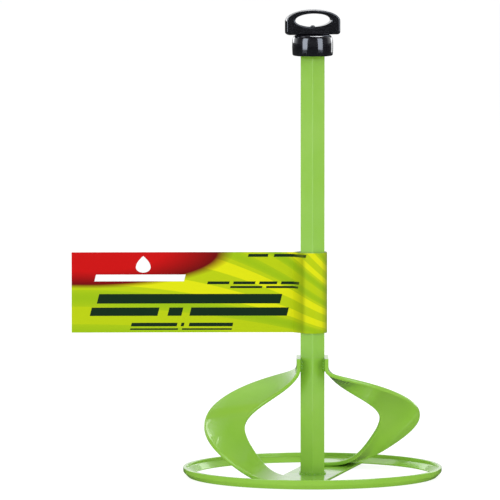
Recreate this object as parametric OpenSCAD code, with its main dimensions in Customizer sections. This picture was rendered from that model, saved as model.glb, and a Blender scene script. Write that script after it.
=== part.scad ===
// Drill paint mixer: a hexagonal bar welded to a cross strip, which spans a rolled ring.
// Two helical strips run from the bar down to the cross strip. A plastic cap with a hanging loop
// is pushed over the free end of the bar, and a folded card is wrapped round the bar.
// Millimetres, +Z up the bar, origin at the centre of the underside of the cross strip.

/* [Shaft] */
// Width of the hexagonal bar across its flats
shaft_af = 12; // [10:0.5:12.5]
// Height of the bar's free end above the floor
shaft_top = 220; // [200:5:300]

/* [Ring and cross strip] */
// Outer diameter of the ring
ring_d = 130; // [125:1:135]
// Height of the ring
ring_h = 4.8; // [4.5:0.1:6]
// Thickness of the ring's wall
ring_wall = 1.6; // [1.4:0.1:1.8]
// Width of the cross strip
strip_w = 26; // [24:1:28]
// Thickness of the cross strip
strip_t = 1.2; // [1:0.1:1.2]
// Direction of the cross strip, in degrees from +X
strip_turn = 77.5; // [75:0.5:80]

/* [Blades] */
// Width of each helical strip
blade_w = 21; // [18:0.5:22]
// Thickness of each helical strip
blade_t = 2; // [1.6:0.1:2]
// Distance from the bar's centre at which the blades are furthest out
blade_reach = 54; // [50:1:54]
// Largest lean of the strip's width from the level, in degrees
blade_lean = 16; // [10:1:16]

/* [Cap] */
// Diameter of the cap's body
cap_d = 20.6; // [19:0.2:22]
// Height of the cap's body
cap_h = 10.5; // [10:0.5:12]
// Width of the hanging loop
loop_w = 27.6; // [26:0.2:29]
// Height of the hanging loop above the body
loop_h = 12.5; // [12:0.5:14]
// Thickness of the hanging loop
loop_t = 5.5; // [5:0.5:7]
// Turn of the loop about the bar, in degrees
loop_turn = 12; // [0:1:20]

/* [Card] */
// Distance from the bar's centre to the card's free end
card_reach = 121; // [80:1:125]
// Height of the card
card_h = 40.5; // [30:0.5:45]
// Height of the card's lower edge above the floor
card_z = 72.5; // [66:0.5:90]
// Thickness of one sheet of the card
card_t = 0.3; // [0.2:0.05:0.3]

/* [Hidden] */
$fn = 72;

paint = [0.30, 0.66, 0.12];
weld_paint = [0.24, 0.58, 0.10];
plastic = [0.05, 0.05, 0.06];
card = [0.72, 0.80, 0.10];
glue = [0.92, 0.90, 0.82];

shaft_corner_r = shaft_af / sqrt(3);      // centre of the bar to a corner of the hexagon
shaft_chamfer = 0.8;

ring_r = ring_d / 2;
ring_bend_z = ring_h / 2;                 // above this the wall stands upright, below it leans in at 45 degrees
ring_foot_out = ring_r - ring_bend_z;     // outer radius where the ring meets the floor
ring_foot_in = ring_foot_out - ring_wall * sqrt(2);
ring_bore_r = ring_r - ring_wall;
seam_w = 1.2;
seam_turn = 94;

// The right-hand blade runs over control points: three down its tab, then numbers 1 to blade_n, out
// and round to its foot on the cross strip. The left-hand blade is the same piece, turned half round.
blade_side = shaft_af / 2 + blade_t / 2;
foot_z = strip_t + blade_t / 2;
tab_top = 60;
tab_foot = 52;
blade_n = 9;
blade_widest = 5;                         // number of the control point that is furthest out
blade_foot_r = 43;                        // from the bar's centre to the middle of the foot's cut end
blade_steps = 6;                          // sections between two control points
blade_swell = 1.5;                        // shapes how soon the path leaves the bar
blade_start = -5;                         // angle round the bar at number 0, in degrees
blade_advance = 6.6;                      // degrees round the bar for each number
blade_gain = 0.35;                        // and for each number squared
blade_fall = 4;                           // millimetres down for each number
blade_dive = 0.4;                         // and for each number squared
blade_turn_lead = 0.6;                    // how far the strip's turn is ahead of its path, in numbers
foot_weld_l = 18;
foot_weld_leg = 1.8;
foot_weld_crown = 0.7 * foot_weld_leg;    // the fillet's middle, which bulges past the line between its edges

shaft_weld_h = 1;
shaft_weld_r = shaft_corner_r + 1;
shaft_weld_top_r = shaft_corner_r + 0.2;
tab_weld_leg = 2.4;
tab_weld_l = 6.5;
tab_weld_z = tab_top - 0.5 - tab_weld_l;  // lower end of a bead beside the tab
tab_weld_crown = [-0.25, 0.35];           // how far a bead's face bulges
ring_weld_leg = 1.8;
ring_weld_rise = strip_t + 0.6 * ring_weld_leg;  // how far the fillet climbs the ring's leaning wall
ring_weld_turn = 11;                      // half the angle that a ring weld spans

cap_z = shaft_top - 8;                    // lower edge of the cap
cap_edge = 1.2;
socket_r = shaft_corner_r + 0.07;
socket_top = shaft_top + 0.1;
loop_z = cap_z + cap_h;
loop_arch = 5.6;                          // height of the arched top of the loop
loop_corner = 1.5;
hole_w = 18.5;
hole_h = 6.6;
hole_z = 7.3;                             // centre of the hole above the cap's body
loop_sink = 0.4;                          // how far the loop is moulded into the body

card_r = shaft_corner_r + 0.12;           // inside radius of the card round the bar
pinch_x = 10;                             // where the two halves of the card come together
card_gap = 0.2;                           // glue between the halves
glue_w = 10;
glue_edge = 1;                            // from the edges of the card to the glue

function unit(v) = v / norm(v);

// Uniform cubic B-spline through the middle of its control points, ending on the first and the last.
function blend(a, b, c, d, t) =
    ((1 - t)^3 * a + (3 * t^3 - 6 * t^2 + 4) * b + (-3 * t^3 + 3 * t^2 + 3 * t + 1) * c + t^3 * d) / 6;
function with_ends(p) = let (n = len(p)) concat([2 * p[0] - p[1]], p, [2 * p[n - 1] - p[n - 2]]);
function spline(p, steps) = let (q = with_ends(p))
    concat([for (i = [0:len(q) - 4]) for (k = [0:steps - 1])
        blend(q[i], q[i + 1], q[i + 2], q[i + 3], k / steps)], [p[len(p) - 1]]);

function ellipse(w, h, from, to, n) =
    [for (i = [0:n]) let (a = from + (to - from) * i / n) [w / 2 * cos(a), h / 2 * sin(a)]];

// Control point i of the blade, counted from the lower end of its tab: distance from the bar's centre,
// angle round it, height, and the direction (turn) and lean (tilt) of the strip's width.
function blade_radius(i) = i < blade_widest
    ? blade_side + (blade_reach - blade_side) * sin(90 * i / blade_widest)^blade_swell
    : blade_foot_r + (blade_reach - blade_foot_r) * cos(90 * (i - blade_widest) / (blade_n - blade_widest))^2;
function blade_angle(i) = blade_start + blade_advance * i + blade_gain * i^2;
function blade_height(i) = max(foot_z, tab_foot - blade_fall * i - blade_dive * i^2);
function blade_turn(i) = -90 * cos(min(180, (i + blade_turn_lead) * 180 / blade_n));
function blade_tilt(i) = i < blade_n ? blade_lean * sin(360 * i / (blade_n - 1)) : 0;
function blade_control(i) = [blade_radius(i) * cos(blade_angle(i)), blade_radius(i) * sin(blade_angle(i)),
    blade_height(i), blade_turn(i), blade_tilt(i)];
foot_end = blade_control(blade_n);

module hexagon_bar(af, h) {
    cylinder(h = h, r = af / sqrt(3), $fn = 6);
}

// A hexagon with a corner towards -Y and a flat towards +X.
module bar_section(af, h) {
    rotate([0, 0, 30]) hexagon_bar(af, h);
}

module shaft() color(paint) intersection() {
    translate([0, 0, strip_t]) bar_section(shaft_af, shaft_top - strip_t);
    union() {
        cylinder(h = shaft_top - shaft_chamfer, r = shaft_corner_r + 1);
        translate([0, 0, shaft_top - shaft_chamfer])
            cylinder(h = shaft_chamfer, r1 = shaft_corner_r, r2 = shaft_corner_r - shaft_chamfer);
    }
}

module cross_strip() color(paint) intersection() {
    rotate([0, 0, strip_turn]) translate([-ring_r, -strip_w / 2, 0]) cube([ring_d, strip_w, strip_t]);
    cylinder(h = strip_t, r = ring_foot_in);
}

// The ring's wall: upright at the top, leaning in towards the floor.
module ring_wall_section() {
    bend_in = ring_bend_z + ring_wall * (sqrt(2) - 1);
    polygon([[ring_foot_in, 0], [ring_foot_out, 0], [ring_r, ring_bend_z], [ring_r, ring_h],
        [ring_bore_r, ring_h], [ring_bore_r, bend_in]]);
}

module seam_slot() {
    rotate([0, 0, seam_turn]) translate([ring_foot_in - 1, -seam_w / 2, -1])
        cube([ring_r - ring_foot_in + 2, seam_w, ring_h + 2]);
}

module ring() color(paint) difference() {
    rotate_extrude($fn = 144) ring_wall_section();
    seam_slot();
}

module ring_seam_weld() color(weld_paint) intersection() {
    rotate_extrude($fn = 144) ring_wall_section();
    seam_slot();
}

// The four corners of the strip's section at p = [x, y, z, turn, tilt], with the strip running along way.
function blade_corners(p, way) =
    let (wide = [cos(p[4]) * cos(p[3]), cos(p[4]) * sin(p[3]), sin(p[4])] * blade_w / 2,
        thick = unit(cross(way, wide)) * blade_t / 2, middle = [p[0], p[1], p[2]])
    [middle - wide - thick, middle + wide - thick, middle + wide + thick, middle - wide + thick];

module blade() {
    tab = [for (z = [tab_top, (tab_top + tab_foot) / 2, tab_foot]) [blade_side, 0, z, -90, 0]];
    path = spline(concat(tab, [for (i = [1:blade_n]) blade_control(i)]), blade_steps);
    last = len(path) - 1;
    middles = [for (p = path) [p[0], p[1], p[2]]];
    corners = [for (i = [0:last])
        each blade_corners(path[i], middles[min(i + 1, last)] - middles[max(i - 1, 0)])];
    sides = [for (i = [0:last - 1]) for (k = [0:3]) let (a = 4 * i + k, b = 4 * i + (k + 1) % 4)
        each [[a, b, b + 4], [a, b + 4, a + 4]]];
    polyhedron(corners, concat([[3, 2, 1, 0]], sides, [[for (k = [0:3]) 4 * last + k]]), convexity = 6);
}

module blade_right() color(paint) blade();
module blade_left() color(paint) rotate([0, 0, 180]) blade();

module shaft_foot_weld() color(weld_paint) difference() {
    translate([0, 0, strip_t]) cylinder(h = shaft_weld_h, r1 = shaft_weld_r, r2 = shaft_weld_top_r);
    translate([0, 0, strip_t - 1]) bar_section(shaft_af, shaft_weld_h + 2);
}

// One bead in the corner between a tab and the next face of the bar.
module tab_bead(side) {
    corner = [shaft_af / 2, side * shaft_corner_r / 2];
    on_tab = corner + [0, side * tab_weld_leg];
    on_bar = corner + tab_weld_leg * [-sqrt(3) / 2, side / 2];
    crown = (on_tab + on_bar) / 2 + [tab_weld_crown[0], side * tab_weld_crown[1]];
    translate([0, 0, tab_weld_z]) linear_extrude(tab_weld_l)
        polygon([corner, on_tab, crown, on_bar]);
}

module blade_top_welds() for (side = [-1, 1]) tab_bead(side);
module blade_top_weld_right() color(weld_paint) blade_top_welds();
module blade_top_weld_left() color(weld_paint) rotate([0, 0, 180]) blade_top_welds();

// A fillet along the cut end of a blade's foot.
module foot_bead() {
    translate([foot_end[0], foot_end[1] + foot_weld_l / 2, strip_t]) rotate([90, 0, 0])
        linear_extrude(foot_weld_l)
            polygon([[0, 0], [0, foot_weld_leg], [-foot_weld_crown, foot_weld_crown], [-foot_weld_leg, 0]]);
}
module blade_foot_weld_right() color(weld_paint) foot_bead();
module blade_foot_weld_left() color(weld_paint) rotate([0, 0, 180]) foot_bead();

// The fillet that fills the groove between an end of the cross strip and the ring's leaning wall.
module ring_weld(turn) color(weld_paint) rotate([0, 0, turn - ring_weld_turn])
    rotate_extrude(angle = 2 * ring_weld_turn, $fn = 144)
        polygon([[ring_foot_in, 0], [ring_foot_in + ring_weld_rise, ring_weld_rise],
            [ring_foot_in - ring_weld_leg, strip_t], [ring_foot_in, strip_t]]);
module ring_weld_back() ring_weld(strip_turn);
module ring_weld_front() ring_weld(strip_turn + 180);

// Outline of the loop, in its own plane: straight sides, rounded lower corners, arched top.
module loop_outline() {
    half = loop_w / 2;
    arch_z = loop_h - loop_arch;
    arch = [for (p = ellipse(loop_w, 2 * loop_arch, 0, 180, 36)) p + [0, arch_z]];
    low_left = [for (p = ellipse(2 * loop_corner, 2 * loop_corner, 180, 270, 6))
        p + [loop_corner - half, loop_corner - loop_sink]];
    low_right = [for (p = ellipse(2 * loop_corner, 2 * loop_corner, 270, 360, 6))
        p + [half - loop_corner, loop_corner - loop_sink]];
    difference() {
        polygon(concat(arch, low_left, low_right));
        translate([0, hole_z]) polygon(ellipse(hole_w, hole_h, 0, 350, 35));
    }
}

module cap() color(plastic) difference() {
    union() {
        translate([0, 0, cap_z]) cylinder(h = cap_h - cap_edge, r = cap_d / 2);
        translate([0, 0, cap_z + cap_h - cap_edge])
            cylinder(h = cap_edge, r1 = cap_d / 2, r2 = cap_d / 2 - cap_edge);
        translate([0, 0, loop_z]) rotate([90, 0, loop_turn])
            translate([0, 0, -loop_t / 2]) linear_extrude(loop_t) loop_outline();
    }
    translate([0, 0, cap_z - 1]) cylinder(h = socket_top - cap_z + 1, r = socket_r);
}

// One side of the folded card, as a line at distance r round the bar and gap either side of its middle.
function card_line(r, gap) =
    let (lift = atan2(gap, pinch_x) + acos(r / norm([pinch_x, gap])), n = 48)
    concat([[-card_reach, -gap], [-pinch_x, -gap]],
        [for (i = [0:n]) let (a = -180 + lift + (360 - 2 * lift) * i / n) r * [cos(a), sin(a)]],
        [[-pinch_x, gap], [-card_reach, gap]]);

module card_sleeve() color(card) {
    outside = card_line(card_r + card_t, card_gap / 2 + card_t);
    inside = card_line(card_r, card_gap / 2);
    last = len(inside) - 1;
    translate([0, 0, card_z]) linear_extrude(card_h)
        polygon(concat(outside, [for (i = [0:last]) inside[last - i]]));
}

module glue_strip() color(glue)
    for (x = [glue_edge - card_reach, -pinch_x - glue_w - glue_edge])
        translate([x, -card_gap / 2, card_z + glue_edge]) cube([glue_w, card_gap, card_h - 2 * glue_edge]);

shaft();
cross_strip();
ring();
blade_right();
blade_left();
shaft_foot_weld();
blade_top_weld_right();
blade_top_weld_left();
blade_foot_weld_right();
blade_foot_weld_left();
ring_weld_front();
ring_weld_back();
ring_seam_weld();
cap();
card_sleeve();
glue_strip();
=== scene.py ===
"""Looks of a drill paint mixer, built round its CAD frame: enamelled steel, black cap, printed card."""

import math

import bmesh
import bpy
from mathutils import Matrix, Vector


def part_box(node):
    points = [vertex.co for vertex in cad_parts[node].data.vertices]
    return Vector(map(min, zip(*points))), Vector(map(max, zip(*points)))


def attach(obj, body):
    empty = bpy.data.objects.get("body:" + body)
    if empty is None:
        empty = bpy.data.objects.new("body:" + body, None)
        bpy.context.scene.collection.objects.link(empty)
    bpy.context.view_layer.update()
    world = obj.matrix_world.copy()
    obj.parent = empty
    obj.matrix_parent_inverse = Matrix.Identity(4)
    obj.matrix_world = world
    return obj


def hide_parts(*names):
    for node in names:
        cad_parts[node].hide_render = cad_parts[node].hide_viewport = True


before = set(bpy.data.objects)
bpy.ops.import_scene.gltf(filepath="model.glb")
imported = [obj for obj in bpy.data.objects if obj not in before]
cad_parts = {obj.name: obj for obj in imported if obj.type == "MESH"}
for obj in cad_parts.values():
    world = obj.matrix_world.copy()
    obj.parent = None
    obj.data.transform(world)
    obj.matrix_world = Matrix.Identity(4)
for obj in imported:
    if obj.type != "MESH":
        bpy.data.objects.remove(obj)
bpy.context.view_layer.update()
mm = 0.001


# ---- Hexagonal bar ------------------------------------------------------------------------
# Drawn hexagon steel with slightly rounded corners, cut to length and chamfered at the end
# that the drill chuck grips. The whole welded mixer is dipped in glossy green enamel.

bar_low, bar_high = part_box("shaft")
bar_corner = (bar_high.x - bar_low.x) / math.sqrt(3)
bar_rounding = 0.35 * mm
bar_chamfer = 0.8 * mm
enamel_green = (0.272, 0.512, 0.058)
enamel_deep = (0.238, 0.488, 0.040)
enamel_gloss = (0.15, 0.24)
enamel_coat = 0.45
enamel_coat_gloss = 0.06
sharp_angle = math.radians(38)
flat_hold = 0.15  # how far past a rounding its flat is held, as a share of the radius


def rounded(corners, steps=4):
    """The closed outline through corners (x, y, radius), each rounded to its own radius.

    A point just beyond each end of a rounding keeps the flats between them flat."""
    points = [Vector((x, y)) for x, y, _ in corners]
    outline = []
    for i, (corner, (_, _, radius)) in enumerate(zip(points, corners)):
        before = (points[i - 1] - corner).normalized()
        after = (points[(i + 1) % len(points)] - corner).normalized()
        half = before.angle(after) / 2
        centre = corner + (before + after).normalized() * radius / math.sin(half)
        reach = radius / math.tan(half)
        hold = reach + flat_hold * radius
        start = (corner + before * reach - centre).normalized()
        end = (corner + after * reach - centre).normalized()
        outline.append(corner + before * hold)
        outline += [centre + radius * start.slerp(end, k / steps) for k in range(steps + 1)]
        outline.append(corner + after * hold)
    return outline


def skin(shape, rings, joined=False):
    """Adds a closed skin through rings of points to shape. Unless joined, its ends are capped."""
    loops = [[shape.verts.new(point) for point in ring] for ring in rings]
    pairs = list(zip(loops, loops[1:]))
    if joined:
        pairs.append((loops[-1], loops[0]))
    else:
        shape.faces.new(reversed(loops[0]))
        shape.faces.new(loops[-1])
    for near, far in pairs:
        for k in range(len(near)):
            n = (k + 1) % len(near)
            shape.faces.new((near[k], near[n], far[n], far[k]))


def finished(name, mesh, paint):
    """The object of a finished mesh: smooth, with its real edges sharp, and its finish on."""
    mesh.shade_smooth()
    mesh.set_sharp_from_angle(angle=sharp_angle)
    mesh.materials.clear()
    mesh.materials.append(paint)
    piece = bpy.data.objects.new(name, mesh)
    bpy.context.scene.collection.objects.link(piece)
    return piece


def piece_of(name, shape, paint):
    """The object of a bmesh, its faces turned outwards."""
    bmesh.ops.recalc_face_normals(shape, faces=shape.faces)
    mesh = bpy.data.meshes.new(name)
    shape.to_mesh(mesh)
    shape.free()
    return finished(name, mesh, paint)


def new_finish(name):
    """A material, its node tree and its main shader."""
    material = bpy.data.materials.new(name)
    material.use_nodes = True
    return material, material.node_tree, material.node_tree.nodes["Principled BSDF"]


def noise(tree, place, scale, detail=2.0):
    """Noise over the object's own coordinates. Scale is in waves per metre."""
    node = tree.nodes.new("ShaderNodeTexNoise")
    node.inputs["Scale"].default_value = scale
    node.inputs["Detail"].default_value = detail
    tree.links.new(place, node.inputs["Vector"])
    return node.outputs["Fac"]


def spread(tree, value, low, high, start=0.3, end=0.7):
    """Maps value from start..end to low..high, held at both ends."""
    node = tree.nodes.new("ShaderNodeMapRange")
    node.inputs["From Min"].default_value = start
    node.inputs["From Max"].default_value = end
    node.inputs["To Min"].default_value = low
    node.inputs["To Max"].default_value = high
    tree.links.new(value, node.inputs["Value"])
    return node.outputs["Result"]


def blended(tree, share, first, second):
    """The colour between first and second, each a colour or a socket."""
    node = tree.nodes.new("ShaderNodeMix")
    node.data_type = "RGBA"
    tree.links.new(share, node.inputs["Factor"])
    for socket, colour in ((node.inputs[6], first), (node.inputs[7], second)):
        if isinstance(colour, tuple):
            socket.default_value = (*colour, 1)
        else:
            tree.links.new(colour, socket)
    return node.outputs[2]


def bumps(tree, shader, heights):
    """Bump from several (height socket, distance in metres, strength), laid over each other."""
    under = None
    for height, distance, strength in heights:
        node = tree.nodes.new("ShaderNodeBump")
        node.inputs["Distance"].default_value = distance
        node.inputs["Strength"].default_value = strength
        tree.links.new(height, node.inputs["Height"])
        if under:
            tree.links.new(under, node.inputs["Normal"])
        under = node.outputs["Normal"]
    tree.links.new(under, shader.inputs["Normal"])


def enamel(name, bright, deep, orange_peel):
    """Glossy enamel over steel: a little thicker and deeper in places, with orange peel."""
    material, tree, shader = new_finish(name)
    place = tree.nodes.new("ShaderNodeTexCoord").outputs["Object"]
    thickness = spread(tree, noise(tree, place, 38, 3), 0, 1)
    tree.links.new(blended(tree, thickness, bright, deep), shader.inputs["Base Color"])
    tree.links.new(spread(tree, noise(tree, place, 90), *enamel_gloss), shader.inputs["Roughness"])
    shader.inputs["Coat Weight"].default_value = enamel_coat
    shader.inputs["Coat Roughness"].default_value = enamel_coat_gloss
    peel = noise(tree, place, 420, 1)
    runs = noise(tree, place, 70, 1)
    bumps(tree, shader, [(runs, 0.6 * mm, 0.10), (peel, 0.12 * mm, orange_peel)])
    return material


paint = enamel("green_enamel", enamel_green, enamel_deep, 0.16)


def hexagon_ring(corner, z):
    """One level of the bar, with a corner towards the front and flats at the sides."""
    corners = []
    for k in range(6):
        angle = math.radians(60 * k - 90)
        corners.append((corner * math.cos(angle), corner * math.sin(angle), bar_rounding))
    return [(p.x, p.y, z) for p in rounded(corners)]


bar_shape = bmesh.new()
bar_levels = [
    (bar_corner, bar_low.z),
    (bar_corner, bar_high.z - bar_chamfer),
    (bar_corner - 0.5 * bar_chamfer, bar_high.z - 0.35 * bar_chamfer),
    (bar_corner - bar_chamfer, bar_high.z),
]
skin(bar_shape, [hexagon_ring(corner, z) for corner, z in bar_levels])
bar = piece_of("hexagonal_bar", bar_shape, paint)
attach(bar, "mixer")
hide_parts("shaft")


# ---- Cross strip --------------------------------------------------------------------------
# Flat steel strip under the bar, its ends cut round to fit inside the ring and its long edges
# left rounded from rolling. It lies in the ring's foot, a little off the front-to-back line.

strip_low, strip_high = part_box("cross_strip")
strip_width = 26 * mm
strip_turn = math.radians(77.5)
strip_reach = 60.34 * mm
strip_edge = 0.35 * mm
strip_end_steps = 12


def strip_outline(inset, z):
    """The strip's outline, drawn in by inset all round: two straight sides and two round ends."""
    half = strip_width / 2 - inset
    reach = strip_reach - inset
    swing = math.asin(half / reach)
    points = []
    for end in (0, math.pi):
        for k in range(strip_end_steps + 1):
            angle = end + strip_turn + swing * (2 * k / strip_end_steps - 1)
            points.append((reach * math.cos(angle), reach * math.sin(angle), z))
    return points


strip_shape = bmesh.new()
strip_levels = [(1.2 * strip_edge, strip_low.z)]
for k in range(5):
    angle = math.radians(22.5 * k)
    level = strip_low.z + strip_edge * (1 - math.cos(angle))
    strip_levels.append((strip_edge * (1 - math.sin(angle)), level))
strip_levels += [(inset, strip_low.z + strip_high.z - z) for inset, z in reversed(strip_levels)]
skin(strip_shape, [strip_outline(inset, z) for inset, z in strip_levels])
strip = piece_of("cross_strip_painted", strip_shape, paint)
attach(strip, "mixer")
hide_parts("cross_strip")


# ---- Ring ---------------------------------------------------------------------------------
# Flat steel strip rolled to a hoop. Its wall is upright at the top, and below a crease it leans
# in towards the floor. Its two ends meet behind the bar, where a butt weld closes the gap.

ring_low, ring_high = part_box("ring")
ring_radius = (ring_high.y - ring_low.y) / 2
ring_height = ring_high.z - ring_low.z
ring_wall = 1.6 * mm
ring_crease = ring_height / 2
ring_foot = ring_radius - ring_crease
ring_foot_in = ring_foot - ring_wall * math.sqrt(2)
ring_crease_in = ring_crease + ring_wall * (math.sqrt(2) - 1)
ring_steps = 288
foot_round = 0.30 * mm
crease_round = 1.2 * mm
crease_in_round = 0.5 * mm
top_round = 0.35 * mm
seam_turn = math.radians(94)
seam_width = 1.2 * mm


def new_tree(name, sizes):
    """A geometry tree with a geometry in and out, and named inputs (name, kind) for its sizes."""
    tree = bpy.data.node_groups.new(name, "GeometryNodeTree")
    tree.interface.new_socket("Geometry", in_out="INPUT", socket_type="NodeSocketGeometry")
    tree.interface.new_socket("Geometry", in_out="OUTPUT", socket_type="NodeSocketGeometry")
    for size, kind in sizes:
        tree.interface.new_socket(size, in_out="INPUT", socket_type="NodeSocket" + kind)
    return tree, tree.nodes.new("NodeGroupInput").outputs


def step(tree, kind, mode=None, **inputs):
    """A node of a geometry tree, in a mode, with its named inputs set to sockets or numbers."""
    node = tree.nodes.new(kind)
    if mode:
        node.mode = mode
    for name, value in inputs.items():
        socket = node.inputs[name.replace("_", " ")]
        if isinstance(value, bpy.types.NodeSocket):
            tree.links.new(value, socket)
        else:
            socket.default_value = value
    return node


def close_tree(tree, geometry, given):
    """Ends a tree in Realize Instances and Set Material."""
    real = step(tree, "GeometryNodeRealizeInstances", Geometry=geometry)
    painted = step(tree, "GeometryNodeSetMaterial", Geometry=real.outputs[0], Material=given["Paint"])
    tree.links.new(painted.outputs[0], tree.nodes.new("NodeGroupOutput").inputs[0])


def grown(name, points, edges, tree, sizes):
    """The plain mesh that a tree grows from a line of points, with its named sizes set."""
    line = bpy.data.meshes.new(name + "_line")
    line.from_pydata(points, edges, [])
    carrier = bpy.data.objects.new(name + "_line", line)
    bpy.context.scene.collection.objects.link(carrier)
    modifier = carrier.modifiers.new("grow", "NODES")
    modifier.node_group = tree
    for socket in tree.interface.items_tree:
        if socket.in_out == "INPUT" and socket.name in sizes:
            modifier[socket.identifier] = sizes[socket.name]
    graph = bpy.context.evaluated_depsgraph_get()
    mesh = bpy.data.meshes.new_from_object(carrier.evaluated_get(graph))
    mesh.name = name
    carrier.modifiers.remove(modifier)
    bpy.data.objects.remove(carrier)
    shape = bmesh.new()
    shape.from_mesh(mesh)
    bmesh.ops.recalc_face_normals(shape, faces=shape.faces)
    shape.to_mesh(mesh)
    shape.free()
    return mesh


rolling, given = new_tree(
    "rolled_strip",
    [("Radius", "Float"), ("First end", "Float"), ("Sweep", "Float")]
    + [("Steps", "Int"), ("Paint", "Material")],
)
section = step(rolling, "GeometryNodeMeshToCurve", Mesh=given["Geometry"])
roll = step(
    rolling,
    "GeometryNodeCurveArc",
    Resolution=given["Steps"],
    Radius=given["Radius"],
    Start_Angle=given["First end"],
    Sweep_Angle=given["Sweep"],
)
hoop = step(
    rolling,
    "GeometryNodeCurveToMesh",
    Curve=roll.outputs[0],
    Profile_Curve=section.outputs[0],
    Fill_Caps=True,
)
close_tree(rolling, hoop.outputs[0], given)

ring_section = rounded(
    [
        (0, 0, foot_round),
        (ring_foot - ring_foot_in, 0, foot_round),
        (ring_radius - ring_foot_in, ring_crease, crease_round),
        (ring_radius - ring_foot_in, ring_height, top_round),
        (ring_radius - ring_wall - ring_foot_in, ring_height, top_round),
        (ring_radius - ring_wall - ring_foot_in, ring_crease_in, crease_in_round),
    ]
)
ring_points = [(p.x, -p.y, 0) for p in ring_section]
ring_edges = [(k, (k + 1) % len(ring_points)) for k in range(len(ring_points))]
seam_half = seam_width / 2 / ring_radius
ring_sizes = {
    "Radius": ring_foot_in,
    "First end": seam_turn + seam_half,
    "Sweep": 2 * math.pi - 2 * seam_half,
    "Steps": ring_steps,
    "Paint": paint,
}
ring_mesh = grown("ring_hoop", ring_points, ring_edges, rolling, ring_sizes)
ring = finished("ring_hoop", ring_mesh, paint)
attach(ring, "mixer")
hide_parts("ring")


# ---- Blades -------------------------------------------------------------------------------
# Two pieces of the same flat steel strip, bent and twisted by a press into a quarter turn of a
# helix. Each runs from a tab on the bar out and round to a foot that lies on the cross strip.

blade_width = 21 * mm
blade_thick = 2 * mm
blade_edge = 0.7 * mm
blade_side = bar_high.x + blade_thick / 2
blade_foot_z = strip_high.z + blade_thick / 2
blade_reach = 54 * mm
blade_foot_r = 43 * mm
blade_lean = 16
tab_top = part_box("blade_right")[1].z
tab_foot = tab_top - 8 * mm
blade_points = 9
blade_widest = 5
# The path's rule: how soon it leaves the bar, its angle round the bar in degrees (at number 0, for
# each number and for each squared), its fall likewise, and how far the strip's turn runs ahead.
blade_swell = 1.5
blade_start = -5
blade_advance = 6.6
blade_gain = 0.35
blade_fall = 4 * mm
blade_dive = 0.4 * mm
blade_turn_lead = 0.6
blade_steps = 14


def blade_control(i):
    """Control point i below the tab: x, y, height, and the turn and tilt of the strip's width.

    It swings out to the widest point and back to the foot, goes on round the bar faster and faster,
    and drops more steeply. The strip turns a little ahead of its path."""
    if i < blade_widest:
        swing = math.sin(math.radians(90 * i / blade_widest)) ** blade_swell
        radius = blade_side + (blade_reach - blade_side) * swing
    else:
        past = (i - blade_widest) / (blade_points - blade_widest)
        swing = math.cos(math.radians(90 * past)) ** 2
        radius = blade_foot_r + (blade_reach - blade_foot_r) * swing
    angle = math.radians(blade_start + blade_advance * i + blade_gain * i * i)
    height = max(blade_foot_z, tab_foot - blade_fall * i - blade_dive * i * i)
    turned = min(180, (i + blade_turn_lead) * 180 / blade_points)
    turn = -90 * math.cos(math.radians(turned))
    tilt = 0
    if i < blade_points:
        tilt = blade_lean * math.sin(math.radians(360 * i / (blade_points - 1)))
    return radius * math.cos(angle), radius * math.sin(angle), height, turn, tilt


def blade_path():
    """Middle, turn and tilt all along the blade: a cubic B-spline through its control points."""
    controls = []
    for z in (tab_top, (tab_top + tab_foot) / 2, tab_foot):
        controls.append((blade_side, 0, z, -90, 0))
    controls += [blade_control(i) for i in range(1, blade_points + 1)]
    first = [2 * a - b for a, b in zip(controls[0], controls[1])]
    last = [2 * a - b for a, b in zip(controls[-1], controls[-2])]
    controls = [first, *controls, last]
    path = []
    for i in range(len(controls) - 3):
        for k in range(blade_steps):
            t = k / blade_steps
            shares = (
                (1 - t) ** 3 / 6,
                (3 * t**3 - 6 * t**2 + 4) / 6,
                (-3 * t**3 + 3 * t**2 + 3 * t + 1) / 6,
                t**3 / 6,
            )
            near = controls[i : i + 4]
            path.append([sum(s * p[c] for s, p in zip(shares, near)) for c in range(5)])
    path.append(list(controls[-2]))
    return path


def blade_rings():
    """The strip's rounded section at each place along the path."""
    path = blade_path()
    half_w, half_t = blade_width / 2, blade_thick / 2
    corners = [(-half_w, -half_t), (half_w, -half_t), (half_w, half_t), (-half_w, half_t)]
    section = rounded([(x, y, blade_edge) for x, y in corners], 3)
    rings = []
    for i, (x, y, z, turn, tilt) in enumerate(path):
        ahead = Vector(path[min(i + 1, len(path) - 1)][:3])
        behind = Vector(path[max(i - 1, 0)][:3])
        turn, tilt = math.radians(turn), math.radians(tilt)
        level = math.cos(tilt)
        wide = Vector((level * math.cos(turn), level * math.sin(turn), math.sin(tilt)))
        thick = (ahead - behind).cross(wide).normalized()
        rings.append([Vector((x, y, z)) + p.x * wide + p.y * thick for p in section])
    return rings


def make_blade(side, half_turns):
    """One blade, turned round the bar by half turns."""
    turned = Matrix.Rotation(math.pi * half_turns, 3, "Z")
    shape = bmesh.new()
    skin(shape, [[turned @ point for point in ring] for ring in blade_rings()])
    return piece_of("helical_blade_" + side, shape, paint)


for half_turns, side in enumerate(("right", "left")):
    blade = make_blade(side, half_turns)
    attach(blade, "mixer")
    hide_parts("blade_" + side)


# ---- Welds --------------------------------------------------------------------------------
# Short hand-laid beads hold the steel together: round the bar's foot, beside both tabs, at the
# blades' feet, at the strip's ends, and across the ring's seam. Enamel lies thick over them.

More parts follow.
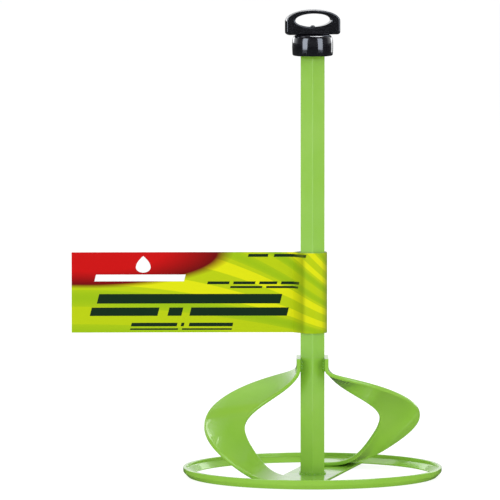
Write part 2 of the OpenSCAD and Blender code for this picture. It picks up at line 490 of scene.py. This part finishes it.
weld_green = (0.215, 0.465, 0.030)
weld_deep = (0.150, 0.370, 0.012)
ripple_pitch = 1.5 * mm
ripple_depth = 0.28
ripple_sections = 6.0
least_taper = 0.3
taper_power = 0.3
thinnest = 0.85
thicker = 0.3
bead_off = 0.1 * mm
bar_bead = 0.7 * mm
tab_bead = 1.15 * mm
tab_bead_out = 0.75 * mm
tab_bead_in = 0.25 * mm
foot_bead = 1.1 * mm
foot_bead_in = 1.35 * mm
foot_bead_up = 0.35 * mm
ring_bead = 0.95 * mm
ring_bead_span = math.radians(10.5)
seam_bead = 0.9 * mm
weld_paint = enamel("weld_enamel", weld_green, weld_deep, 0.22)


def calc(tree, operation, *values):
    """A Math node's result, from sockets or numbers."""
    node = tree.nodes.new("ShaderNodeMath")
    node.operation = operation
    for k, value in enumerate(values):
        if isinstance(value, bpy.types.NodeSocket):
            tree.links.new(value, node.inputs[k])
        else:
            node.inputs[k].default_value = value
    return node.outputs[0]


beading, given = new_tree(
    "weld_bead",
    [("Bead radius", "Float"), ("Ripple pitch", "Float"), ("Ripple depth", "Float")]
    + [("End taper", "Float"), ("Seed", "Float"), ("Paint", "Material")],
)
line = step(beading, "GeometryNodeMeshToCurve", Mesh=given["Geometry"])
spacing = calc(beading, "DIVIDE", given["Ripple pitch"], ripple_sections)
fine = step(beading, "GeometryNodeResampleCurve", "LENGTH", Curve=line.outputs[0], Length=spacing)
along = beading.nodes.new("GeometryNodeSplineParameter")
passes = calc(beading, "DIVIDE", along.outputs["Length"], given["Ripple pitch"])
unevenness = beading.nodes.new("ShaderNodeTexNoise")
unevenness.noise_dimensions = "4D"
unevenness.inputs["Scale"].default_value = 140.0
beading.links.new(given["Seed"], unevenness.inputs["W"])
drift = calc(beading, "ADD", passes, unevenness.outputs["Fac"])
wave = calc(beading, "ABSOLUTE", calc(beading, "SINE", calc(beading, "MULTIPLY", drift, math.pi)))
dip = calc(beading, "MULTIPLY", calc(beading, "SUBTRACT", 1.0, wave), given["Ripple depth"])
swell = calc(beading, "MULTIPLY_ADD", unevenness.outputs["Fac"], thicker, thinnest)
left = calc(beading, "SUBTRACT", 1.0, along.outputs["Factor"])
from_ends = calc(beading, "MULTIPLY", calc(beading, "MULTIPLY", along.outputs["Factor"], left), 4.0)
taper = calc(beading, "MAXIMUM", calc(beading, "POWER", from_ends, taper_power), least_taper)
tapered = calc(beading, "SUBTRACT", 1.0, taper)
kept = calc(beading, "SUBTRACT", 1.0, calc(beading, "MULTIPLY", tapered, given["End taper"]))
girth = calc(beading, "MULTIPLY", calc(beading, "SUBTRACT", swell, dip), kept)
round_section = step(
    beading,
    "GeometryNodeCurvePrimitiveCircle",
    Resolution=14,
    Radius=given["Bead radius"],
)
bead = step(
    beading,
    "GeometryNodeCurveToMesh",
    Curve=fine.outputs[0],
    Profile_Curve=round_section.outputs[0],
    Scale=girth,
    Fill_Caps=True,
)
close_tree(beading, bead.outputs[0], given)


def lay_welds(name, node, lines, radius, seed, closed=False):
    """Beads of one weld along its lines of points, joined into one piece."""
    shape = bmesh.new()
    for k, points in enumerate(lines):
        edges = [(i, i + 1) for i in range(len(points) - 1)]
        if closed:
            edges.append((len(points) - 1, 0))
        sizes = {
            "Bead radius": radius,
            "Ripple pitch": ripple_pitch,
            "Ripple depth": ripple_depth,
            "End taper": 0.0 if closed else 1.0,
            "Seed": float(seed + k),
            "Paint": weld_paint,
        }
        mesh = grown(name + "_line", points, edges, beading, sizes)
        shape.from_mesh(mesh)
        bpy.data.meshes.remove(mesh)
    weld = piece_of(name, shape, weld_paint)
    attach(weld, "mixer")
    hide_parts(node)


def arc_points(radius, z, start, end, count):
    """Points along a level arc round the bar, with angles in radians."""
    angles = [start + (end - start) * k / count for k in range(count + 1)]
    return [(radius * math.cos(a), radius * math.sin(a), z) for a in angles]


foot_line = hexagon_ring(bar_corner + bead_off, bar_low.z + bead_off)
lay_welds("weld_bar_foot", "shaft_foot_weld", [foot_line], bar_bead, 1, closed=True)

tab_low, tab_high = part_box("blade_top_weld_right")
for half_turns, side in enumerate(("right", "left")):
    turned = Matrix.Rotation(math.pi * half_turns, 3, "Z")
    lines = []
    for way in (-1, 1):
        y = way * (bar_corner / 2 + tab_bead_out)
        ends = [Vector((bar_high.x - tab_bead_in, y, z)) for z in (tab_low.z, tab_high.z)]
        lines.append([turned @ end for end in ends])
    lay_welds("weld_tab_" + side, "blade_top_weld_" + side, lines, tab_bead, 3 + 4 * half_turns)

    low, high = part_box("blade_foot_weld_" + side)
    cut_x = low.x + foot_bead_in if side == "right" else high.x - foot_bead_in
    cut_line = [Vector((cut_x, y, low.z + foot_bead_up)) for y in (low.y, high.y)]
    lay_welds("weld_foot_" + side, "blade_foot_weld_" + side, [cut_line], foot_bead, 11 + half_turns)

for half_turns, side in enumerate(("back", "front")):
    start = strip_turn + math.pi * half_turns - ring_bead_span
    end = strip_turn + math.pi * half_turns + ring_bead_span
    groove = arc_points(ring_foot_in + bead_off, strip_high.z + bead_off, start, end, 24)
    lay_welds("weld_ring_" + side, "ring_weld_" + side, [groove], ring_bead, 21 + half_turns)

# Up the middle of the ring's wall, as radius and height.
seam_rise = [
    (ring_foot_in + 0.7 * mm, 0.75 * mm),
    (ring_foot + 0.5 * mm, 1.3 * mm),
    (ring_radius - 0.75 * mm, ring_crease + 0.6 * mm),
    (ring_radius - 0.8 * mm, ring_height - 0.75 * mm),
]
seam_line = [(r * math.cos(seam_turn), r * math.sin(seam_turn), z) for r, z in seam_rise]
lay_welds("weld_ring_seam", "ring_seam_weld", [seam_line], seam_bead, 31)


# ---- Cap ----------------------------------------------------------------------------------
# One moulding in black polypropylene: a round cup pushed over the bar's free end, with a flat
# hanging loop on top. It shows a fine parting line and the nub where the plastic was fed in.

cap_low, cap_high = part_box("cap")
cup_radius = (cap_high.y - cap_low.y) / 2
cup_height = 10.5 * mm
cup_shoulder = 2.2 * mm
cup_barrel = 0.3 * mm
cup_widest = 0.42  # share of the cup's height
cup_foot_edge = 0.25 * mm
cup_foot_in = 0.7 * mm
socket_radius = bar_corner + 0.07 * mm
socket_depth = 8.1 * mm
socket_lead = 0.6 * mm
loop_foot = cap_low.z + cup_height
loop_wide = 27.6 * mm
loop_tall = cap_high.z - loop_foot
loop_thick = 5.5 * mm
loop_turn = math.radians(12)
loop_arch = 5.6 * mm
loop_corner = 1.5 * mm
loop_round = 0.75 * mm
loop_hold = 1.2  # how far in from the edge the loop's flats are held, in roundings
hole_half_w = 9.25 * mm
hole_half_h = 3.3 * mm
hole_middle = 7.3 * mm
parting_half = 0.14 * mm
parting_rise = 0.07 * mm
nub_radius = 1.25 * mm
plastic_black = (0.0020, 0.0021, 0.0034)
plastic_worn = (0.0042, 0.0042, 0.0060)
plastic_tint = (0.90, 0.92, 1.0, 1)
plastic_gloss = (0.10, 0.16)
plastic_ior = 1.6


def moulded_plastic():
    """Black moulded plastic: smooth and glossy, with faint handling marks and flow waves."""
    material, tree, shader = new_finish("black_polypropylene")
    place = tree.nodes.new("ShaderNodeTexCoord").outputs["Object"]
    tone = spread(tree, noise(tree, place, 160, 4), 0, 1, 0.4, 0.65)
    tree.links.new(blended(tree, tone, plastic_black, plastic_worn), shader.inputs["Base Color"])
    handled = spread(tree, noise(tree, place, 260, 3), *plastic_gloss)
    tree.links.new(handled, shader.inputs["Roughness"])
    shader.inputs["Specular Tint"].default_value = plastic_tint
    shader.inputs["IOR"].default_value = plastic_ior
    shader.inputs["Specular IOR Level"].default_value = 1.0
    shader.inputs["Coat Weight"].default_value = 1.0
    shader.inputs["Coat Roughness"].default_value = 0.07
    grain = noise(tree, place, 2200, 2)
    flow = noise(tree, place, 170, 1)
    bumps(tree, shader, [(flow, 0.5 * mm, 0.10), (grain, 0.03 * mm, 0.20)])
    return material


plastic = moulded_plastic()


def cup_profile():
    """Radius and height from the shoulder, down the slightly barrelled side and up the socket."""
    profile = []
    for k in range(7):
        angle = math.radians(90 - 15 * k)
        radius = cup_radius - cup_barrel - cup_shoulder * (1 - math.cos(angle))
        profile.append((radius, cup_height - cup_shoulder * (1 - math.sin(angle))))
    for k in range(1, 8):
        z = (cup_height - cup_shoulder) * (1 - k / 8)
        barrel = cup_barrel * (1 - 2 * abs(z / cup_height - cup_widest)) ** 0.5
        profile.append((cup_radius - cup_barrel + barrel, z))
    profile += [(cup_radius - cup_foot_edge, cup_foot_edge), (cup_radius - cup_foot_in, 0)]
    profile += [(socket_radius + socket_lead, 0), (socket_radius, socket_lead)]
    return [*profile, (socket_radius, socket_depth)]


def level_ring(radius, z, count=72):
    """A level circle of points round the bar."""
    return arc_points(radius, z, 0, 2 * math.pi, count)[:-1]


def loop_outline():
    """The loop's outside, from one side over the arched top and back along its flat foot."""
    half = loop_wide / 2
    spring = loop_tall - loop_arch
    outline = []
    for k in range(49):
        angle = math.pi * k / 48
        outline.append((half * math.cos(angle), spring + loop_arch * math.sin(angle)))
    sides = [spring + (loop_corner - spring) * k / 11 for k in range(1, 11)]
    outline += [(-half, z) for z in sides]
    for side in (-1, 1):
        turn = math.pi if side < 0 else 1.5 * math.pi
        centre = side * (half - loop_corner)
        for k in range(7):
            angle = turn + math.pi / 2 * k / 6
            outline.append((centre + loop_corner * math.cos(angle), loop_corner * (1 + math.sin(angle))))
        if side < 0:
            outline += [(half * (k / 12 - 1), 0) for k in range(3, 22)]
    return outline + [(half, z) for z in reversed(sides)]


def loop_ring(x, z):
    """The loop's section between outside point (x, z) and the edge of the hole, rounded."""
    angle = math.atan2((z - hole_middle) / hole_half_h, x / hole_half_w)
    hole = Vector((hole_half_w * math.cos(angle), hole_middle + hole_half_h * math.sin(angle)))
    outside = Vector((x, z))
    inward = (hole - outside).normalized()
    turned = Matrix.Rotation(loop_turn, 3, "Z")
    bend = [math.radians(30 * k) for k in range(4)]
    corner = [(0, loop_hold), *((1 - math.cos(a), 1 - math.sin(a)) for a in bend)]
    corner.append((loop_hold, 0))
    points = []
    for edge, way, front in (
        (outside, inward, -1),
        (outside, inward, 1),
        (hole, -inward, 1),
        (hole, -inward, -1),
    ):
        arc = [(edge + way * loop_round * b, front * (loop_thick / 2 - loop_round * a)) for a, b in corner]
        if (edge is outside) == (front > 0):
            arc.reverse()
        points += arc
        if edge is outside and front < 0:
            line = ((0, -parting_half), (-parting_rise, 0), (0, parting_half))
            points += [(edge + way * out, across) for out, across in line]
    return [turned @ Vector((p.x, across, loop_foot + p.y)) for p, across in points]


cap_shape = bmesh.new()
skin(cap_shape, [level_ring(radius, cap_low.z + z) for radius, z in cup_profile()])
skin(cap_shape, [loop_ring(x, z) for x, z in loop_outline()], joined=True)
nub_rings = []
nub_foot = loop_foot + hole_middle - hole_half_h
for reach, rise in ((1.0, -0.4), (1.0, 0.15), (0.85, 0.4), (0.5, 0.6), (0.15, 0.66)):
    nub_rings.append(level_ring(nub_radius * reach, nub_foot + rise * mm, 16))
skin(cap_shape, nub_rings)
cap = piece_of("cap_moulding", cap_shape, plastic)
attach(cap, "hanging_cap")
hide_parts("cap")


# ---- Card ---------------------------------------------------------------------------------
# One sheet of coated card, printed, folded round the bar and closed on itself. Its halves run
# flat to the free end, which bows a little. The print is stripes, a red corner and plain bars,
# with soft bands of painted shade over it at the creases.

card_low, card_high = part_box("card_sleeve")
card_sheet = 0.3 * mm
card_gap = 0.2 * mm
card_pinch = 10 * mm
card_radius = card_high.x - card_sheet
card_reach = -card_low.x
card_tall = card_high.z - card_low.z
card_bow = 1.6 * mm
card_wave = 0.35 * mm
# Painted shade: where and how strongly the print is darkened in soft bands at the creases.
crease_shade_pinch_x = 6 * mm
crease_shade_side_x = 4.6 * mm
crease_shade_width = 2.6 * mm
crease_shade_depth = 0.75
card_levels = 13
card_flat_steps = 24
card_bend_steps = 48


def bowed(x, y, z):
    """A point of the card, moved by the slight bow and wave of its free end."""
    out = max(0, (-x - card_pinch) / (card_reach - card_pinch))
    level = (z - card_low.z) / card_tall
    lift = card_bow * out * out + card_wave * out * math.sin(2.2 * math.pi * level + 0.6)
    return Vector((x, y - lift, z))


def card_line(radius, gap):
    """One side of the folded sheet, seen from above: along, round the bar, and back."""
    lift = math.atan2(gap, card_pinch) + math.acos(radius / math.hypot(card_pinch, gap))
    flat = []
    for k in range(card_flat_steps + 1):
        flat.append(card_reach + (card_pinch - card_reach) * k / card_flat_steps)
    bend = []
    for k in range(card_bend_steps + 1):
        angle = -math.pi + lift + 2 * (math.pi - lift) * k / card_bend_steps
        bend.append((radius * math.cos(angle), radius * math.sin(angle)))
    return [(-x, -gap) for x in flat] + bend + [(-x, gap) for x in reversed(flat)]


def card_shape_of():
    """The sheet as a skin along its own line, with its real thickness."""
    outside = card_line(card_radius + card_sheet, card_gap / 2 + card_sheet)
    inside = card_line(card_radius, card_gap / 2)
    levels = [card_low.z + card_tall * k / (card_levels - 1) for k in range(card_levels)]
    rings = []
    for outer, inner in zip(outside, inside):
        ring = [bowed(*outer, z) for z in levels] + [bowed(*inner, z) for z in reversed(levels)]
        rings.append(ring)
    shape = bmesh.new()
    skin(shape, rings)
    return shape


ink_green = (0.262, 0.430, 0.003)
ink_leaf = (0.345, 0.480, 0.003)
ink_lime = (0.420, 0.520, 0.002)
ink_yellow = (0.640, 0.650, 0.002)
ink_red = (0.520, 0.002, 0.002)
ink_dark_red = (0.150, 0.001, 0.001)
ink_text = (0.006, 0.026, 0.008)
# Painted shade: a dull olive laid over the print at the creases.
crease_shade_colour = (0.150, 0.210, 0.002)
ink_white = (0.82, 0.82, 0.80)
board = (0.62, 0.60, 0.53)
card_gloss = (0.42, 0.52)
card_mirror = 0.10
# The print, in mm from the card's free end and from its lower edge. Plain bars stand in place of
# words, as rows of lower edge, upper edge and the bars' left and right ends.
print_slant = -0.25
print_shift = 3
bar_rows = [
    (14.6, 19.4, [(12, 104)]),
    (8.4, 12.6, [(10, 44), (49, 56), (60, 109)]),
    (24.3, 25.7, [(65, 76), (78, 89), (91, 100), (102, 111)]),
    (22.3, 23.4, [(77, 93), (95, 111)]),
    (38.1, 39.6, [(82, 92), (95, 111)]),
    (3.1, 4.9, [(32, 55), (57, 58.5), (61, 83)]),
    (1.3, 2.1, [(32, 56), (58, 83)]),
]
white_bar = (8, 53, 25.8, 29.2)
drop_middle = (36, 34.4)
drop_half_w = 3.4
drop_half_h = 4.2
corner_middle = 8
corner_half_w = 70
corner_tall = 17.5
fan_run = 128
fan_spread = 1.55
fan_closing = 0.95
fan_start = 12
quick_wave = (0.52, 0.9)
slow_wave = (0.17, 2.4)
slow_share = 0.7


def inside_bar(tree, x, z, left, right, low, high):
    """1 inside a bar of the print, 0 outside."""
    across = calc(tree, "ABSOLUTE", calc(tree, "SUBTRACT", x, (left + right) / 2))
    up = calc(tree, "ABSOLUTE", calc(tree, "SUBTRACT", z, (low + high) / 2))
    in_width = calc(tree, "LESS_THAN", across, (right - left) / 2)
    in_height = calc(tree, "LESS_THAN", up, (high - low) / 2)
    return calc(tree, "MULTIPLY", in_width, in_height)


def ramp(tree, value, stops):
    """A colour ramp through (position, colour) stops."""
    node = tree.nodes.new("ShaderNodeValToRGB")
    tree.links.new(value, node.inputs["Fac"])
    while len(node.color_ramp.elements) < len(stops):
        node.color_ramp.elements.new(0.5)
    for element, (position, colour) in zip(node.color_ramp.elements, stops):
        element.position = position
        element.color = (*colour, 1)
    return node.outputs["Color"]


def leaf_stripes(tree, x, z):
    """Yellow and green stripes that fan down towards the bar: two waves of different length."""
    run = calc(tree, "DIVIDE", x, fan_run)
    closing = calc(tree, "MULTIPLY", calc(tree, "MULTIPLY", run, run), fan_closing)
    fan = calc(tree, "SUBTRACT", fan_spread, closing)
    order = calc(tree, "DIVIDE", calc(tree, "ADD", z, fan_start), fan)
    quick = calc(tree, "SINE", calc(tree, "MULTIPLY_ADD", order, *quick_wave))
    slow = calc(tree, "SINE", calc(tree, "MULTIPLY_ADD", order, *slow_wave))
    both = calc(tree, "MULTIPLY_ADD", slow, slow_share, quick)
    share = spread(tree, both, 0, 1, -1 - slow_share, 1 + slow_share)
    stops = [(0, ink_green), (0.33, ink_leaf), (0.36, ink_lime), (0.66, ink_lime), (0.71, ink_yellow)]
    return ramp(tree, share, stops)


def red_corner(tree, x, z, under):
    """The red field in the upper left corner, darker towards its soft round edge."""
    across = calc(tree, "DIVIDE", calc(tree, "SUBTRACT", x, corner_middle), corner_half_w)
    down = calc(tree, "DIVIDE", calc(tree, "SUBTRACT", card_tall / mm, z), corner_tall)
    squares = calc(tree, "MULTIPLY_ADD", across, across, calc(tree, "MULTIPLY", down, down))
    out = calc(tree, "SQRT", squares)
    red = ramp(tree, out, [(0, ink_red), (0.55, ink_red), (0.93, ink_dark_red), (1, ink_dark_red)])
    return blended(tree, spread(tree, out, 0, 1, 0.93, 1.05), red, under)


def paint_drop(tree, x, z):
    """1 inside a plain drop, pointed at the top: half width falls to nothing at both ends."""
    up = calc(tree, "DIVIDE", calc(tree, "SUBTRACT", z, drop_middle[1]), drop_half_h)
    round_end = calc(tree, "SQRT", calc(tree, "MAXIMUM", calc(tree, "ADD", 1.0, up), 0.0))
    pointed = calc(tree, "MULTIPLY", round_end, calc(tree, "SUBTRACT", 1.0, up))
    half = calc(tree, "MULTIPLY", pointed, drop_half_w)
    across = calc(tree, "ABSOLUTE", calc(tree, "SUBTRACT", x, drop_middle[0]))
    return calc(tree, "LESS_THAN", across, half)


def piece_share(tree, name):
    """How far a face or point of the card has an attribute, from 0 to 1."""
    node = tree.nodes.new("ShaderNodeAttribute")
    node.attribute_name = name
    return node.outputs["Fac"]


def printed_card():
    """Coated card: print on the outside, painted shade at the creases, plain board at the cut edges, faint
    fibre in the gloss.
    """
    material, tree, shader = new_finish("printed_card")
    place = tree.nodes.new("ShaderNodeTexCoord").outputs["Object"]
    parts = tree.nodes.new("ShaderNodeSeparateXYZ")
    tree.links.new(place, parts.inputs[0])
    x = calc(tree, "MULTIPLY_ADD", parts.outputs["X"], 1 / mm, card_reach / mm)
    z = calc(tree, "MULTIPLY_ADD", parts.outputs["Z"], 1 / mm, -card_low.z / mm)
    slanted = calc(tree, "MULTIPLY_ADD", z, print_slant, calc(tree, "ADD", x, print_shift))
    plain = leaf_stripes(tree, x, z)
    words = 0
    for low, high, row in bar_rows:
        for left, right in row:
            words = calc(tree, "MAXIMUM", words, inside_bar(tree, slanted, z, left, right, low, high))
    faced = blended(tree, words, red_corner(tree, x, z, plain), ink_text)
    mark = calc(tree, "MAXIMUM", paint_drop(tree, x, z), inside_bar(tree, slanted, z, *white_bar))
    faced = blended(tree, mark, faced, ink_white)
    outer = blended(tree, piece_share(tree, "front"), plain, faced)
    # Painted shade: the print darkens to a dull olive in soft bands at the creases.
    outer = blended(tree, piece_share(tree, "painted_crease_shade"), outer, crease_shade_colour)
    coloured = blended(tree, piece_share(tree, "cut_edge"), outer, board)
    tree.links.new(coloured, shader.inputs["Base Color"])
    tree.links.new(spread(tree, noise(tree, place, 140, 2), *card_gloss), shader.inputs["Roughness"])
    shader.inputs["Specular IOR Level"].default_value = card_mirror
    fibre = noise(tree, place, 1500, 3)
    bumps(tree, shader, [(noise(tree, place, 60, 1), 0.5 * mm, 0.08), (fibre, 0.03 * mm, 0.12)])
    return material


card = piece_of("card_folded", card_shape_of(), printed_card())
# Bare board shows at the cut edges and inside, and only the front has the red corner and the bars.
edge_share = card.data.attributes.new("cut_edge", "FLOAT", "FACE")
front_share = card.data.attributes.new("front", "FLOAT", "FACE")
for face in card.data.polygons:
    at_end = all(card.data.vertices[v].co.x < card_low.x + 0.1 * mm for v in face.vertices)
    inside = all(v % (2 * card_levels) >= card_levels for v in face.vertices)
    bare = at_end or inside or abs(face.normal.z) > 0.7
    edge_share.data[face.index].value = 1.0 if bare else 0.0
    front_share.data[face.index].value = 1.0 if face.normal.y < 0 else 0.0
# Painted shade at the creases: soft bands by the pinch and where the card turns round the bar's side.
crease_shade_mask = card.data.attributes.new("painted_crease_shade", "FLOAT", "POINT")
for vertex in card.data.vertices:
    at_pinch = 1 - min(1, abs(vertex.co.x + crease_shade_pinch_x) / crease_shade_width)
    at_side = min(1, max(0, (vertex.co.x - crease_shade_side_x) / crease_shade_width))
    crease_shade_mask.data[vertex.index].value = crease_shade_depth * max(at_pinch, at_side)
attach(card, "folded_card")
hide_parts("card_sleeve")


# ---- Tape ---------------------------------------------------------------------------------
# Two strips of double-sided tape between the halves of the card, one at the free end and one
# beside the bar. Only their edges show, as a thin pale line.

tape_low, tape_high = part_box("glue_strip")
tape_width = 10 * mm
tape_pale = (0.62, 0.60, 0.52)
tape_yellowed = (0.55, 0.50, 0.36)
tape_gloss = (0.6, 0.8)
tape_steps = 8
tape_rise_steps = 12


def tape_finish():
    """Paper tape with dried glue: matt, pale, and a little yellowed in patches."""
    material, tree, shader = new_finish("paper_tape")
    place = tree.nodes.new("ShaderNodeTexCoord").outputs["Object"]
    patches = spread(tree, noise(tree, place, 240, 3), 0, 1)
    tree.links.new(blended(tree, patches, tape_pale, tape_yellowed), shader.inputs["Base Color"])
    tree.links.new(spread(tree, noise(tree, place, 500), *tape_gloss), shader.inputs["Roughness"])
    bumps(tree, shader, [(noise(tree, place, 1800, 2), 0.02 * mm, 0.3)])
    return material


tape_shape = bmesh.new()
tape_tall = tape_high.z - tape_low.z
levels = [tape_low.z + tape_tall * n / tape_rise_steps for n in range(tape_rise_steps + 1)]
half_thick = card_gap / 2
for start in (tape_low.x, tape_high.x - tape_width):
    rings = []
    for k in range(tape_steps + 1):
        x = start + tape_width * k / tape_steps
        ring = [bowed(x, -half_thick, z) for z in levels]
        rings.append(ring + [bowed(x, half_thick, z) for z in reversed(levels)])
    skin(tape_shape, rings)
tape = piece_of("double_sided_tape", tape_shape, tape_finish())
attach(tape, "folded_card")
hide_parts("glue_strip")


# ---- Studio -------------------------------------------------------------------------------
# A plain white floor and a pale surround, both dark in mirrors but for a band behind, and six soft
# lights: two tall in front, two above and two behind. The camera stands far back, a little above.

floor_radius = 12.0
floor_grey = 0.30
floor_glow = 0.82
floor_grey_mirrored = -0.27  # added where the floor is seen in a mirror
floor_glow_mirrored = -0.80
surround_white = (0.98, 0.99, 1.0, 1)
surround_even = 0.62
surround_seen = 0.45  # added where the camera sees it


def emptied(tree):
    """A node tree, with its first nodes taken out."""
    for node in list(tree.nodes):
        tree.nodes.remove(node)
    return tree


surround = bpy.data.worlds.new("surround")
bpy.context.scene.world = surround
surround.use_nodes = True
sky = emptied(surround.node_tree)
way = sky.nodes.new("ShaderNodeSeparateXYZ")
sky.links.new(sky.nodes.new("ShaderNodeTexCoord").outputs["Generated"], way.inputs[0])
behind = spread(sky, way.outputs["Y"], 0.10, 1.0, 0.0, 0.6)
band = calc(sky, "MULTIPLY", behind, spread(sky, way.outputs["Z"], 1.0, 0.45, 0.15, 0.60))
rays = sky.nodes.new("ShaderNodeLightPath")
mirrored = rays.outputs["Is Glossy Ray"]
even = calc(sky, "MULTIPLY", calc(sky, "SUBTRACT", 1.0, mirrored), surround_even)
even = calc(sky, "MULTIPLY_ADD", rays.outputs["Is Camera Ray"], surround_seen, even)
glow = sky.nodes.new("ShaderNodeBackground")
glow.inputs["Color"].default_value = surround_white
sky.links.new(calc(sky, "MULTIPLY_ADD", mirrored, band, even), glow.inputs["Strength"])
sky.links.new(glow.outputs[0], sky.nodes.new("ShaderNodeOutputWorld").inputs["Surface"])

floor_material = bpy.data.materials.new("floor_white")
floor_material.use_nodes = True
ground = emptied(floor_material.node_tree)
matt = ground.nodes.new("ShaderNodeBsdfDiffuse")
lit = ground.nodes.new("ShaderNodeEmission")
mirrored = ground.nodes.new("ShaderNodeLightPath").outputs["Is Glossy Ray"]
floor_strength = calc(ground, "MULTIPLY_ADD", mirrored, floor_glow_mirrored, floor_glow)
floor_colour = calc(ground, "MULTIPLY_ADD", mirrored, floor_grey_mirrored, floor_grey)
ground.links.new(floor_strength, lit.inputs["Strength"])
ground.links.new(floor_colour, matt.inputs["Color"])
both = ground.nodes.new("ShaderNodeAddShader")
ground.links.new(matt.outputs[0], both.inputs[0])
ground.links.new(lit.outputs[0], both.inputs[1])
ground.links.new(both.outputs[0], ground.nodes.new("ShaderNodeOutputMaterial").inputs["Surface"])
floor_mesh = bpy.data.meshes.new("floor")
floor_points = level_ring(floor_radius, 0, 96)
floor_mesh.from_pydata(floor_points, [], [list(range(len(floor_points)))])
floor_mesh.materials.append(floor_material)
floor = bpy.data.objects.new("floor", floor_mesh)
bpy.context.scene.collection.objects.link(floor)

light_aim = Vector((0, 0, 0.12))


def softbox(name, towards, distance, width, tall, radiance, tint=(1, 1, 1)):
    """A soft light that stands in one direction from the object and faces it."""
    lamp = bpy.data.lights.new(name, "AREA")
    lamp.shape = "RECTANGLE"
    lamp.size = width
    lamp.size_y = tall
    lamp.energy = radiance * math.pi * width * tall
    lamp.color = tint
    box = bpy.data.objects.new(name, lamp)
    box.location = light_aim + Vector(towards).normalized() * distance
    box.rotation_euler = (light_aim - box.location).to_track_quat("-Z", "Y").to_euler()
    box.visible_camera = False
    bpy.context.scene.collection.objects.link(box)


cool = (0.86, 0.92, 1.0)
softbox("light_left", (-0.70, -0.72, 0.25), 1.7, 0.85, 1.7, 2.9, cool)
softbox("light_right", (0.70, -0.72, 0.25), 1.7, 0.85, 1.7, 2.5, cool)
softbox("light_over", (0.16, 0.36, 0.93), 1.6, 0.70, 0.55, 7.0)
softbox("light_over_left", (-0.54, 0.37, 0.95), 1.6, 0.6, 0.6, 2.0)
softbox("light_back_left", (-0.60, 0.80, 0.35), 1.8, 0.6, 1.2, 2.0)
softbox("light_back_right", (0.64, 0.77, 0.20), 1.8, 0.6, 1.2, 2.0)

camera_distance = 6.0
camera_side = -0.0314
camera_height = 0.668
camera_aim = 0.114
camera_data = bpy.data.cameras.new("camera")
camera_data.sensor_width = 36
camera_data.lens = 864
camera_data.clip_end = 100
camera = bpy.data.objects.new("camera", camera_data)
camera.location = (camera_side, -camera_distance, camera_height)
target = Vector((camera_side, 0, camera_aim))
camera.rotation_euler = (target - camera.location).to_track_quat("-Z", "Y").to_euler()
bpy.context.scene.collection.objects.link(camera)
bpy.context.scene.camera = camera
bpy.context.scene.view_settings.view_transform = "Standard"
